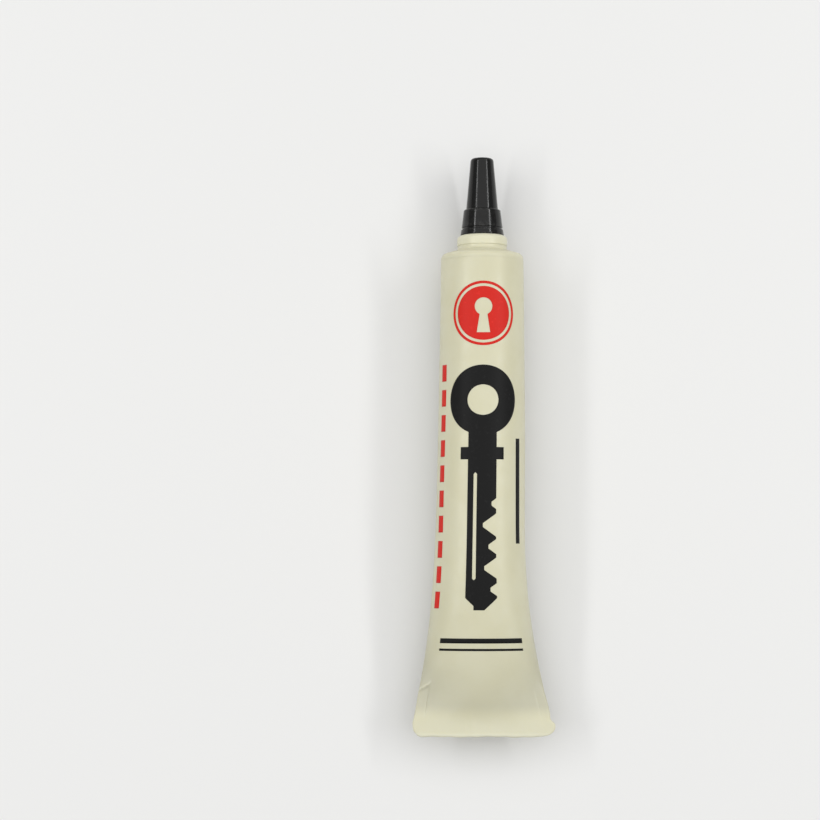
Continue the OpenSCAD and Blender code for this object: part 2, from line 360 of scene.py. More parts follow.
class Finish:
    """A node material under construction: a Principled shader and short calls for the nodes before it."""

    def __init__(self, name, colour, roughness, **sockets):
        self.material = bpy.data.materials.new(name)
        self.material.use_nodes = True
        self.tree = self.material.node_tree
        self.shader = self.tree.nodes["Principled BSDF"]
        self.set(self.shader, {"Base Color": (*colour, 1.0), "Roughness": roughness, **sockets})
        self.place = self.node("ShaderNodeTexCoord").outputs["Object"]

    def set(self, node, sockets):
        """Each socket, by its name or number, gets a link from another node or a value."""
        for key, value in sockets.items():
            if isinstance(value, bpy.types.NodeSocket):
                self.tree.links.new(value, node.inputs[key])
            else:
                node.inputs[key].default_value = value

    def node(self, kind, settings=None, **sockets):
        """A new node of that kind with its settings and sockets."""
        made = self.tree.nodes.new(kind)
        for key, value in (settings or {}).items():
            setattr(made, key, value)
        self.set(made, sockets)
        return made

    def noise(self, scale, detail, roughness=0.55, stretch=None):
        """Noise in lumps of about 1 / scale metres, drawn out by the stretch of its coordinates."""
        place = self.place
        if stretch:
            place = self.node("ShaderNodeMapping", Vector=place, Scale=stretch).outputs["Vector"]
        made = self.node("ShaderNodeTexNoise", Vector=place, Scale=scale, Detail=detail, Roughness=roughness)
        return made.outputs["Fac"]

    def kept(self, label):
        """The value that the piece keeps at its points under this label."""
        return self.node("ShaderNodeAttribute", {"attribute_name": label}).outputs["Fac"]

    def worked(self, operation, first, second):
        """Two values worked into one by an operation such as MULTIPLY or ADD."""
        made = self.node("ShaderNodeMath", {"operation": operation})
        self.set(made, {0: first, 1: second})
        return made.outputs[0]

    def span(self, value, source, target):
        """The value's source range, mapped by a smooth step to the target range and held at its ends."""
        made = self.node("ShaderNodeMapRange", {"interpolation_type": "SMOOTHSTEP"}, Value=value)
        self.set(made, {"From Min": source[0], "From Max": source[1]})
        self.set(made, {"To Min": target[0], "To Max": target[1]})
        return made.outputs["Result"]

    def mix(self, factor, first, second):
        """The first colour where the factor is 0, the second where it is 1, and shades between them."""
        made = self.node("ShaderNodeMix", {"data_type": "RGBA"})
        self.set(made, {0: factor, 6: first, 7: second})
        return made.outputs[2]

    def relief(self, *layers):
        """Stacked bumps, each given as height, distance in metres and strength."""
        normal = None
        for height, distance, strength in layers:
            made = self.node("ShaderNodeBump", Height=height, Distance=distance, Strength=strength)
            if normal:
                self.tree.links.new(normal, made.inputs["Normal"])
            normal = made.outputs["Normal"]
        self.tree.links.new(normal, self.shader.inputs["Normal"])


def soft_plastic(name, colour, deeper, roughness):
    """Satin translucent polyethylene: cloudy colour, faint drawn streaks, fine skin grain and light scuffs.

    It gives the finish and its cloudy colour, which each piece carries on to the shader.
    """
    finish = Finish(name, colour, roughness, **{
        "Subsurface Weight": 0.22,
        "Subsurface Radius": (1.0, 0.92, 0.68),
        "Subsurface Scale": 0.0011,
        "IOR": 1.51,
    })
    cloud = finish.noise(scale=95.0, detail=5.0)
    streak = finish.noise(scale=1.0, detail=3.0, stretch=(900.0, 14.0, 900.0))
    grain = finish.noise(scale=2600.0, detail=2.0)
    scuff = finish.noise(scale=380.0, detail=4.0, roughness=0.60)
    tone = finish.mix(finish.span(cloud, (0.34, 0.68), (0.0, 1.0)), (*colour, 1.0), (*deeper, 1.0))
    scuffed = finish.span(scuff, (0.34, 0.70), (roughness - 0.06, roughness + 0.08))
    finish.set(finish.shader, {"Roughness": scuffed})
    finish.relief((streak, 0.00003, 0.25), (grain, 0.00002, 0.35), (cloud, 0.00012, 0.12))
    return finish, tone


SLEEVE_WHITE = (0.676, 0.654, 0.474)
SLEEVE_DEEPER_WHITE = (0.652, 0.627, 0.440)
SLEEVE_ROUGHNESS = 0.38
POWDER_GREY = (0.30, 0.30, 0.275, 1.0)
WELD_AND_HIGHLIGHT_WHITE = (0.682, 0.670, 0.520, 1.0)
sleeve_finish, sleeve_tone = soft_plastic(
    "sleeve_polyethylene", SLEEVE_WHITE, SLEEVE_DEEPER_WHITE, SLEEVE_ROUGHNESS)
haze = sleeve_finish.span(sleeve_finish.noise(scale=70.0, detail=3.0), (0.30, 0.72), (0.80, 1.0))
shadow = sleeve_finish.worked("MULTIPLY", sleeve_finish.kept("powder_shadow"), haze)
greyed = sleeve_finish.mix(shadow, sleeve_tone, POWDER_GREY)
# The lighter white mixed in here is the sealed band's whitening plus painted highlights on the end rim, the
# fold ridge and the creases.
welded_and_highlit = sleeve_finish.mix(sleeve_finish.kept("weld_and_painted_highlight"), greyed, WELD_AND_HIGHLIGHT_WHITE)
sleeve_finish.set(sleeve_finish.shader, {"Base Color": welded_and_highlit})

SLEEVE_SIDES = 192
BODY_ROWS = 190
BAND_ROWS = 30
END_ROWS = 24
CAVITY_ROWS = 56
ROW_CROWDING = 1.55
RIM_STEPS = np.array([0.0, 0.06, 0.16])
RIM_TUCKS = (0.03, 0.01)
BAND_TOP_ROW = BAND_HEIGHT - 0.08
BAND_LOW_ROW = 1.0
END_SWING = 1.39
WELD_LINE_DEPTH = 0.3
CAVITY_FOOT = BAND_HEIGHT + 0.3
turn = np.linspace(0.0, 2.0 * np.pi, SLEEVE_SIDES, endpoint=False)
rim_rows = SLEEVE_LENGTH - RIM_STEPS
body_rows = BAND_HEIGHT + (SLEEVE_LENGTH - BAND_HEIGHT) * np.linspace(1.0, 0.0, BODY_ROWS) ** ROW_CROWDING
band_rows = np.linspace(BAND_TOP_ROW, BAND_LOW_ROW, BAND_ROWS)
end_rows = BAND_LOW_ROW - np.sin(np.linspace(0.0, END_SWING, END_ROWS))
outer_rows = np.concatenate([rim_rows, body_rows[1:], band_rows, end_rows[1:]])
outer_skin = sleeve_point(turn[None, :], outer_rows[:, None])
rim_tuck = np.zeros(len(outer_rows))
rim_tuck[:len(RIM_TUCKS)] = RIM_TUCKS
outer_skin[..., [0, 2]] *= (1.0 - rim_tuck / SLEEVE_RADIUS)[:, None, None]
weld_line = outer_skin[-1:] * [1.0, 1.0, 0.0] + [0.0, WELD_LINE_DEPTH, 0.0]
cavity_share = np.linspace(0.0, 1.0, CAVITY_ROWS) ** ROW_CROWDING
cavity_rows = CAVITY_FOOT + (SLEEVE_LENGTH - CAVITY_FOOT) * cavity_share
cavity_skin = cavity_point(turn[None, :], cavity_rows[:, None])
sleeve_grid = np.concatenate([cavity_skin, outer_skin, weld_line])
ring_count = len(sleeve_grid)
sleeve_faces = np.concatenate([
    ring_quads(ring_count, SLEEVE_SIDES),
    zip_quads(0, SLEEVE_SIDES),
    zip_quads((ring_count - 1) * SLEEVE_SIDES, SLEEVE_SIDES),
])
sleeve = make_piece(
    "soft_sleeve", sleeve_grid, sleeve_faces, sleeve_finish.material,
    "tube", ("tube_sleeve",))

POWDER_GAP = 0.15
POWDER_RADIUS = SLEEVE_RADIUS - SLEEVE_WALL - POWDER_GAP
POWDER_END_HALF_WIDTH = CAVITY_END_HALF_WIDTH - POWDER_GAP
POWDER_END_HALF_DEPTH = 0.12
POWDER_START_SHARE = 0.065
POWDER_END_SHARE = 0.965
POWDER_PLACE_SHARES = (0.0, 0.1, 0.7, 1.0)
POWDER_LEVEL_SHARES = (-0.9, -0.3, -0.3, 0.4)


def powder_halves(u):
    """Half width, half depth and flattening of the powder's outside, a little inside the cavity's wall."""
    return wall_halves(u, POWDER_RADIUS, POWDER_END_HALF_WIDTH, POWDER_END_HALF_DEPTH, BAND_HEIGHT)


def powder_level(u):
    """Level of the powder's top as a share of its half depth, from straight lines between a few places."""
    s = (SLEEVE_LENGTH - u) / (SLEEVE_LENGTH - BAND_HEIGHT)
    place = (s - POWDER_START_SHARE) / (POWDER_END_SHARE - POWDER_START_SHARE)
    return np.interp(place, POWDER_PLACE_SHARES, POWDER_LEVEL_SHARES)


SHADOW_STRENGTH = 0.42
SHADOW_FADE = 3.2
SHADOW_FROM_SEAL = (4.6, 9.0)
SHADOW_FROM_SHOULDER = (120.0, 116.0)
across, along, up = points_of(sleeve)
above_powder = np.maximum(up - powder_level(along) * powder_halves(along)[1], 0.0)
powder_reach = smooth_step(*SHADOW_FROM_SEAL, along) * smooth_step(*SHADOW_FROM_SHOULDER, along)
keep_values(sleeve, "powder_shadow", SHADOW_STRENGTH * np.exp(-above_powder / SHADOW_FADE) * powder_reach)

# Values for the lighter white: the sealed band's whitening, and painted highlights along the trimmed end's
# rim, the left fold ridge and the creases inside both sides.
BAND_WHITENING = 0.45
BAND_WHITE_ALONG = (7.5, 2.0)
# Painted highlight: a lighter white along the rounded rim of the trimmed end.
END_RIM_PAINTED_HIGHLIGHT = 0.55
END_RIM_HIGHLIGHT_ALONG = (1.3, 0.4)
# Painted highlights: a lighter white along the slanted fold ridge at the left and the creases inside both
# sides.
FOLD_PAINTED_HIGHLIGHT = 0.7
CREASE_PAINTED_HIGHLIGHT = 0.3
share_across = (across - sideways_bend(along)) / side_half_width(along, across)
fold, _, crease = fold_lines(share_across, along)
band_white = BAND_WHITENING * smooth_step(*BAND_WHITE_ALONG, along)
end_rim_highlight = END_RIM_PAINTED_HIGHLIGHT * smooth_step(*END_RIM_HIGHLIGHT_ALONG, along)
keep_values(sleeve, "weld_and_painted_highlight", band_white + end_rim_highlight + FOLD_PAINTED_HIGHLIGHT * fold + CREASE_PAINTED_HIGHLIGHT * crease)

# Print on the sleeve
# Two inks laid on the round sleeve before it is sealed: a red badge with a keyhole, a black key and a few
# plain rules. Each is a thin film that follows the wall.

INK_LIFT = 0.02
INK_THICK = 0.025
ANGLE_STEP = 1e-3
PLACE_STEP = 1e-2


def on_sleeve(around, along):
    """Point lifted off the wall, at a distance around from the front line as measured on the round sleeve.

    The lift follows the cross product of two short steps on the wall.
    """
    angle = np.pi / 2 - around / SLEEVE_RADIUS
    here = sleeve_point(angle, along)
    to_left = sleeve_point(angle + ANGLE_STEP, along) - here
    to_cap = sleeve_point(angle, along + PLACE_STEP) - here
    outward = np.cross(to_cap, to_left)
    outward /= np.linalg.norm(outward, axis=-1, keepdims=True)
    outward *= np.sign(np.sum(outward * (here * [1.0, 0.0, 1.0]), axis=-1, keepdims=True))
    return here + INK_LIFT * outward


def strip(left, right, along, columns):
    """Grid between a left and a right edge, both given at the same rows along the tube."""
    share = np.linspace(0.0, 1.0, columns + 1)[None, :]
    around = left[:, None] + (right - left)[:, None] * share
    return around, along[:, None] + 0.0 * share


def rule(left, right, foot, top, rows, columns):
    """A strip with straight sides."""
    return strip(np.full(rows, left), np.full(rows, right), np.linspace(foot, top, rows), columns)


def strip_quads(rows, columns, first):
    """Quads of an open grid."""
    row = first + (columns + 1) * np.arange(rows - 1)[:, None]
    near = row + np.arange(columns)[None, :]
    over = near + columns + 1
    return np.stack([near, near + 1, over + 1, over], axis=-1).reshape(-1, 4)


def print_ink(name, finish, *strips):
    """One ink film from strips: their grids are lifted onto the wall, joined and given their thickness."""
    points = []
    faces = []
    first = 0
    for around, along in strips:
        rows, columns = around.shape
        points.append(on_sleeve(around, along).reshape(-1, 3))
        faces.append(strip_quads(rows, columns - 1, first))
        first += rows * columns
    film = make_piece(name, np.concatenate(points), np.concatenate(faces), finish, "tube")
    facing = np.empty(3 * len(film.data.polygons))
    film.data.polygons.foreach_get("normal", facing)
    centre = np.empty(3 * len(film.data.polygons))
    film.data.polygons.foreach_get("center", centre)
    outward = centre.reshape(-1, 3) - [0.0, 0.0, SLEEVE_RADIUS * MILLIMETRE]
    if np.sum(facing.reshape(-1, 3) * outward * [1.0, 0.0, 1.0]) < 0.0:
        film.data.flip_normals()
    thick = film.modifiers.new("film", "SOLIDIFY")
    thick.thickness = INK_THICK * MILLIMETRE
    thick.offset = 1.0


THIN_INK_GAIN = 1.25
THIN_INK_LIFT = 0.012


def ink(name, colour, roughness):
    """Screen ink: even colour with faint thin spots and a slightly rough skin."""
    finish = Finish(name, colour, roughness, **{"IOR": 1.48, "Specular IOR Level": 0.15})
    thin = finish.noise(scale=900.0, detail=5.0, roughness=0.7)
    lighter = tuple(min(1.0, THIN_INK_GAIN * channel + THIN_INK_LIFT) for channel in colour)
    thinned = finish.span(thin, (0.52, 0.80), (0.0, 0.8))
    finish.set(finish.shader, {
        "Base Color": finish.mix(thinned, (*colour, 1.0), (*lighter, 1.0)),
        "Roughness": finish.span(thin, (0.3, 0.7), (roughness - 0.05, roughness + 0.08)),
    })
    finish.relief((thin, 0.00001, 0.3))
    return finish.material


ARC_ROWS = 121


def arc_rows(centre, radius):
    """Rows over a circle that close up at both ends, as the steps of a half turn do."""
    low = centre - radius
    high = centre + radius
    return low + (high - low) * 0.5 * (1.0 - np.cos(np.linspace(0.0, np.pi, ARC_ROWS)))


def half_chord(along, centre, radius):
    """Half the width of a circle at each row along the tube."""
    return np.sqrt(np.maximum(radius ** 2 - (along - centre) ** 2, 0.0))


EDGE_SLIVER = 0.004


def crisp_rows(rows, *edges):
    """The rows with two more at each edge, close under and over it, so that a step there stays square."""
    beside = np.add.outer(np.array(edges), [-EDGE_SLIVER, EDGE_SLIVER])
    return np.unique(np.concatenate([rows, beside.ravel()]))


red_ink = ink("red_ink", colour=(0.640, 0.022, 0.014), roughness=0.42)
black_ink = ink("black_ink", colour=(0.007, 0.007, 0.007), roughness=0.44)

BADGE_AT = 111.4
BADGE_RADIUS = 8.5
RING_INSIDE = 7.8
DISC_RADIUS = 7.1
HOLE_AT = 113.2
HOLE_RADIUS = 2.3
SLOT_FOOT = 106.3
SLOT_TOP_HALF = 0.70
SLOT_FLARE = 1.05
ring_rows = crisp_rows(arc_rows(BADGE_AT, BADGE_RADIUS), BADGE_AT - RING_INSIDE, BADGE_AT + RING_INSIDE)
ring_edge = half_chord(ring_rows, BADGE_AT, BADGE_RADIUS)
ring_hole = half_chord(ring_rows, BADGE_AT, RING_INSIDE)
disc_rows = crisp_rows(arc_rows(BADGE_AT, DISC_RADIUS), SLOT_FOOT, HOLE_AT + HOLE_RADIUS)
disc_edge = half_chord(disc_rows, BADGE_AT, DISC_RADIUS)
slot_edge = SLOT_TOP_HALF + SLOT_FLARE * (HOLE_AT - disc_rows) / (HOLE_AT - SLOT_FOOT)
slot_edge = np.where((disc_rows > SLOT_FOOT) & (disc_rows < HOLE_AT), slot_edge, 0.0)
keyhole_edge = np.maximum(half_chord(disc_rows, HOLE_AT, HOLE_RADIUS), slot_edge)

DASH_LEFT = -13.2
DASH_RIGHT = -11.0
DASH_LENGTH = 4.4
DASH_PITCH = 6.64
DASHES_FOOT = 34.0
DASHES_TOP = 94.0
dash_feet = np.arange(DASHES_FOOT, DASHES_TOP, DASH_PITCH)
print_ink(
    "print_red", red_ink,
    strip(-ring_edge, -ring_hole, ring_rows, columns=10),
    strip(ring_hole, ring_edge, ring_rows, columns=10),
    strip(-disc_edge, -keyhole_edge, disc_rows, columns=18),
    strip(keyhole_edge, disc_edge, disc_rows, columns=18),
    *(rule(DASH_LEFT, DASH_RIGHT, foot, foot + DASH_LENGTH, rows=8, columns=6) for foot in dash_feet),
)

BOW_AT = 88.6
BOW_RADIUS = 9.2
BOW_HOLE = 4.0
COLLAR_FOOT = 73.0
COLLAR_TOP = 76.2
COLLAR_HALF = 5.6
BLADE_HALF = 3.6
BLADE_TIP = 33.6
BLADE_ROWS = 240
TIP_LENGTH = 3.2
TIP_SHARE = 0.18
TOOTH_PLACES = np.array([39.0, 44.6, 50.2, 55.8, 61.4])
TOOTH_DEPTHS = np.array([1.5, 2.9, 1.9, 3.3, 1.2])
TOOTH_SLOPE = 1.3
TOOTH_HALF_FLAT = 0.5
GROOVE_FOOT = 41.5
GROOVE_TOP = 69.5
GROOVE_HALF = 0.42
GROOVE_LEFT = 1.7
blade_rows = np.linspace(BLADE_TIP, BOW_AT - BOW_RADIUS, BLADE_ROWS)
key_rows = crisp_rows(
    np.concatenate([blade_rows, arc_rows(BOW_AT, BOW_RADIUS)]),
    COLLAR_FOOT, COLLAR_TOP, BOW_AT - BOW_HOLE, BOW_AT + BOW_HOLE)
tip_cut = np.clip((key_rows - BLADE_TIP) / TIP_LENGTH, 0.0, 1.0)
blade = np.where(key_rows < BOW_AT, BLADE_HALF * (TIP_SHARE + (1.0 - TIP_SHARE) * tip_cut), 0.0)
from_tooth = np.maximum(np.abs(key_rows[:, None] - TOOTH_PLACES) - TOOTH_HALF_FLAT, 0.0)
bite = np.maximum(TOOTH_DEPTHS - TOOTH_SLOPE * from_tooth, 0.0).max(axis=1)
bow = half_chord(key_rows, BOW_AT, BOW_RADIUS)
collar = np.where((key_rows > COLLAR_FOOT) & (key_rows < COLLAR_TOP), COLLAR_HALF, 0.0)
key_left = np.maximum.reduce([bow, blade, collar])
key_right = np.maximum.reduce([bow, blade - bite, collar])
from_groove_end = np.minimum(key_rows - GROOVE_FOOT, GROOVE_TOP - key_rows)
groove_half = GROOVE_HALF * np.sqrt(np.clip(from_groove_end / GROOVE_HALF, 0.0, 1.0))
bow_hole = half_chord(key_rows, BOW_AT, BOW_HOLE)
groove_shift = GROOVE_LEFT * smooth_step(BOW_AT - BOW_HOLE, GROOVE_TOP, key_rows)
bare_middle = np.where(bow_hole > 0.0, 0.0, -groove_shift)
bare_half = np.maximum(bow_hole, groove_half)

CLOSING_HALF = 9.5
THICK_RULE_FOOT = 24.9
THICK_RULE_TOP = 26.2
THIN_RULE_FOOT = 22.9
THIN_RULE_TOP = 23.5
SIDE_RULE_LEFT = 9.6
SIDE_RULE_RIGHT = 11.2
SIDE_RULE_FOOT = 51.0
SIDE_RULE_TOP = 78.6
print_ink(
    "print_black", black_ink,
    strip(-key_left, bare_middle - bare_half, key_rows, columns=14),
    strip(bare_middle + bare_half, key_right, key_rows, columns=14),
    rule(-CLOSING_HALF, CLOSING_HALF, THICK_RULE_FOOT, THICK_RULE_TOP, rows=4, columns=40),
    rule(-CLOSING_HALF, CLOSING_HALF, THIN_RULE_FOOT, THIN_RULE_TOP, rows=3, columns=40),
    rule(SIDE_RULE_LEFT, SIDE_RULE_RIGHT, SIDE_RULE_FOOT, SIDE_RULE_TOP, rows=50, columns=3),
)

# Shoulder
# A disc moulded from the same polyethylene, with a rounded edge, a shallow cone and a short neck.
# Its rim goes into the sleeve's round end and is welded there.

ARC_STEPS = 7
STRETCH_SHARES = np.array([0.03, 0.5, 0.97])
REVOLVED_SIDES = 144


def rounded_outline(corners):
    """Outline through corners of radius, place along the axis and fillet, closed from last to first.

    At each corner an arc of the fillet's radius touches both sides: it starts fillet times the
    tangent of half the turn before the corner and swings through the turn. Rows close to the ends of
    each straight stretch keep its shading straight.
    """
    corner = np.asarray(corners, dtype=float)
    point = corner[:, :2]
    fillet = corner[:, 2:3]
    back = np.roll(point, 1, axis=0) - point
    on = np.roll(point, -1, axis=0) - point
    back /= np.linalg.norm(back, axis=1, keepdims=True)
    on /= np.linalg.norm(on, axis=1, keepdims=True)
    inner = np.arccos(np.clip(np.sum(back * on, axis=1, keepdims=True), -1.0, 1.0))
    reach = fillet / np.tan(inner / 2)
    middle = back + on
    middle /= np.linalg.norm(middle, axis=1, keepdims=True)
    centre = point + middle * fillet / np.sin(inner / 2)
    start = point + back * reach - centre
    end = point + on * reach - centre
    share = np.linspace(0.0, 1.0, ARC_STEPS)[None, :, None]
    sweep = (np.pi - inner)[:, :, None]
    weight_start = np.sin((1.0 - share) * sweep) / np.sin(sweep)
    weight_end = np.sin(share * sweep) / np.sin(sweep)
    arcs = centre[:, None, :] + weight_start * start[:, None, :] + weight_end * end[:, None, :]
    reach_on = np.roll(arcs[:, 0], -1, axis=0) - arcs[:, -1]
    stretches = arcs[:, -1:] + reach_on[:, None, :] * STRETCH_SHARES[None, :, None]
    return np.concatenate([arcs, stretches], axis=1).reshape(-1, 2)


def revolve(outline, along):
    """The outline swung round the tube's axis: radius times cosine across, radius times sine up."""
    around = np.linspace(0.0, 2.0 * np.pi, REVOLVED_SIDES, endpoint=False)[None, :]
    radius = outline[:, :1]
    place = outline[:, 1:2] + along
    return np.stack([radius * np.cos(around), place + 0.0 * around, radius * np.sin(around)], axis=-1)


def closed_quads(rows, sides):
    """Quads of a grid that closes on itself both ways: the rings, and the last ring joined to the first."""
    near = np.arange(sides)
    far = (near + 1) % sides
    last = (rows - 1) * sides
    return np.concatenate([
        ring_quads(rows, sides),
        np.stack([last + near, last + far, far, near], axis=-1),
    ])


SHOULDER_WHITE = (0.686, 0.664, 0.486)
SHOULDER_DEEPER_WHITE = (0.662, 0.637, 0.452)
SHOULDER_ROUGHNESS = 0.37
RIM_DEPTH = 4.0
RIM_RADIUS = 10.1
RIM_BORE = 9.1
EDGE_TOP = 1.5
EDGE_ROUND = 1.5
NECK_FOOT = 2.9
NECK_ROUND = 0.95
NECK_TOP = 4.0
NECK_RADIUS = 6.55
NECK_BORE = 5.15
CEILING_PLACE = 1.9
CEILING_RADIUS = 6.5
CEILING_EDGE = 0.7
shoulder_finish, shoulder_tone = soft_plastic(
    "shoulder_polyethylene", SHOULDER_WHITE, SHOULDER_DEEPER_WHITE, SHOULDER_ROUGHNESS)
shoulder_finish.set(shoulder_finish.shader, {"Base Color": shoulder_tone})
shoulder_outline = rounded_outline([
    (RIM_BORE, -RIM_DEPTH, 0.10),
    (RIM_RADIUS, -RIM_DEPTH, 0.20),
    (RIM_RADIUS, 0.0, 0.03),
    (SLEEVE_RADIUS, 0.0, 0.03),
    (SLEEVE_RADIUS, EDGE_TOP, EDGE_ROUND),
    (NECK_RADIUS, NECK_FOOT, NECK_ROUND),
    (NECK_RADIUS, NECK_TOP, 0.10),
    (NECK_BORE, NECK_TOP, 0.12),
    (NECK_BORE, CEILING_PLACE, 0.10),
    (CEILING_RADIUS, CEILING_PLACE, 0.30),
    (RIM_BORE, CEILING_EDGE, 0.40),
])
shoulder_skin = revolve(shoulder_outline, SLEEVE_LENGTH)
make_piece(
    "moulded_shoulder", shoulder_skin, closed_quads(*shoulder_skin.shape[:2]), shoulder_finish.material,
    "tube", ("tube_shoulder",))

# Nozzle
# A stiffer white moulding pushed into the neck: plug, stop ring, a straight land that grips the cap, and
# a tapered spout with a small outlet for a keyway.

NOZZLE_WHITE = (0.716, 0.698, 0.525)
NOZZLE_DEEPER_WHITE = (0.692, 0.670, 0.490)
NOZZLE_ROUGHNESS = 0.34
DUST_GREY = (0.060, 0.060, 0.064, 1.0)
nozzle_finish, nozzle_tone = soft_plastic(
    "nozzle_polyethylene", NOZZLE_WHITE, NOZZLE_DEEPER_WHITE, NOZZLE_ROUGHNESS)
dust_specks = nozzle_finish.noise(scale=1500.0, detail=5.0, roughness=0.7)
dusting = nozzle_finish.worked(
    "MULTIPLY", nozzle_finish.kept("dust"), nozzle_finish.span(dust_specks, (0.3, 0.7), (0.55, 1.0)))
nozzle_finish.set(nozzle_finish.shader, {"Base Color": nozzle_finish.mix(dusting, nozzle_tone, DUST_GREY)})

FIT_PLAY = 0.05
CAP_FOOT, CAP_TOP = cad_places("cap", ALONG)
CAP_BASE = CAP_FOOT - SEALED_END
RING_THICK = 2.8
RING_RADIUS = 6.7
RING_ROUND = 1.25
PLUG_FOOT = -7.8
PLUG_RADIUS = NECK_BORE - FIT_PLAY
PLUG_BORE = 4.1
LAND_RADIUS = 4.05
LAND_TOP = 4.9
SPOUT_RADIUS = 3.15
SPOUT_TOP = 18.9
TIP_RADIUS = 1.5
OUTLET_RADIUS = 0.8
OUTLET_FOOT = 16.5
nozzle_outline = rounded_outline([
    (PLUG_BORE, PLUG_FOOT, 0.15),
    (PLUG_RADIUS, PLUG_FOOT, 0.30),
    (PLUG_RADIUS, -RING_THICK, 0.10),
    (RING_RADIUS, -RING_THICK, 0.15),
    (RING_RADIUS, 0.0, RING_ROUND),
    (LAND_RADIUS, 0.0, 0.15),
    (LAND_RADIUS, LAND_TOP, 0.35),
    (SPOUT_RADIUS, LAND_TOP, 0.25),
    (TIP_RADIUS, SPOUT_TOP, 0.35),
    (OUTLET_RADIUS, SPOUT_TOP, 0.12),
    (OUTLET_RADIUS, OUTLET_FOOT, 0.3),
])
nozzle_skin = revolve(nozzle_outline, CAP_BASE)
nozzle = make_piece(
    "push_in_nozzle", nozzle_skin, closed_quads(*nozzle_skin.shape[:2]), nozzle_finish.material,
    "tube", ("nozzle",))

BORE_DUST = 0.75
BORE_DUST_INWARD = (1.05, OUTLET_RADIUS)
TIP_DUST = 0.22
TIP_DUST_ALONG = (CAP_BASE + SPOUT_TOP - 0.9, CAP_BASE + SPOUT_TOP)
across, along, up = points_of(nozzle)
bore_dust = BORE_DUST * smooth_step(*BORE_DUST_INWARD, np.hypot(across, up))
tip_dust = TIP_DUST * smooth_step(*TIP_DUST_ALONG, along)
keep_values(nozzle, "dust", np.maximum(bore_dust, tip_dust))

# Graphite powder
# Loose dry graphite, filled through the open end before it is sealed. It lies along the lower wall and is
# heaped against the seal, with a soft uneven top.

HEAP_ROWS = 90
HEAP_STEPS = 48
HEAP_SIDES = 2 * HEAP_STEPS
HEAP_NARROWING = 0.28
HEAP_NARROW_ALONG = (30.0, 10.0)
HEAP_SAG = 0.4
HEAP_LUMPS = ((0.22, 0.55, 1.1, 0.0), (0.16, 1.3, 0.0, 0.0))
heap_share = np.linspace(0.0, 1.0, HEAP_ROWS)[:, None]
heap_s = POWDER_START_SHARE + (POWDER_END_SHARE - POWDER_START_SHARE) * heap_share
heap_u = SLEEVE_LENGTH + (BAND_HEIGHT - SLEEVE_LENGTH) * heap_s
heap_half_width, heap_half_depth, heap_flat = powder_halves(heap_u)
heap_half_width = heap_half_width * (1.0 - HEAP_NARROWING * smooth_step(*HEAP_NARROW_ALONG, heap_u))
heap_power = 1.0 + SIDE_SHARPNESS * heap_flat
heap_level = powder_level(heap_u)
heap_shore = np.arcsin(np.sign(heap_level) * np.abs(heap_level) ** (1.0 / heap_power))
heap_swing = np.linspace(0.0, 1.0, HEAP_STEPS + 1)[None, :]
heap_angle = np.pi - heap_shore + (np.pi + 2.0 * heap_shore) * heap_swing
heap_sine = np.sin(heap_angle)
heap_wall = np.stack([
    heap_half_width * np.cos(heap_angle) + sideways_bend(heap_u),
    heap_u + 0.0 * heap_angle,
    heap_half_depth * np.sign(heap_sine) * np.abs(heap_sine) ** heap_power,
], axis=-1)
share_over = np.arange(1, HEAP_STEPS) / HEAP_STEPS
heap_top = heap_wall[:, -1:] + (heap_wall[:, :1] - heap_wall[:, -1:]) * share_over[:, None]
heap_sunk = HEAP_SAG + waves(HEAP_LUMPS, heap_top[..., 1], heap_top[..., 0])
heap_top[..., 2] -= heap_sunk * np.sin(np.pi * share_over) * np.sin(np.pi * heap_share)
heap = np.concatenate([heap_wall, heap_top], axis=1)
heap_faces = np.concatenate([
    ring_quads(HEAP_ROWS, HEAP_SIDES),
    zip_quads(0, HEAP_SIDES),
    zip_quads((HEAP_ROWS - 1) * HEAP_SIDES, HEAP_SIDES),
])

GRAPHITE_GREY = (0.055, 0.056, 0.060)
GRAPHITE_DARK = (0.035, 0.036, 0.039, 1.0)
GRAPHITE_LIGHT = (0.105, 0.106, 0.112, 1.0)
graphite = Finish("graphite_powder", GRAPHITE_GREY, roughness=0.62, Metallic=0.35)
clump = graphite.noise(scale=1400.0, detail=6.0, roughness=0.7)
glint = graphite.noise(scale=5200.0, detail=2.0)
graphite.set(graphite.shader, {
    "Base Color": graphite.mix(graphite.span(clump, (0.35, 0.70), (0.0, 1.0)), GRAPHITE_DARK, GRAPHITE_LIGHT),
    "Roughness": graphite.span(glint, (0.62, 0.74), (0.68, 0.30)),
})
graphite.relief((clump, 0.0002, 0.6), (glint, 0.00005, 0.5))
make_piece(
    "settled_graphite", heap, heap_faces, graphite.material, "tube", ("graphite_powder",))

# Cap
# One moulding of black polyethylene, pushed over the spout: a long cone, a step, a skirt that grips the
# nozzle's land, a groove and a flared lip. A pin inside its top stops the outlet.

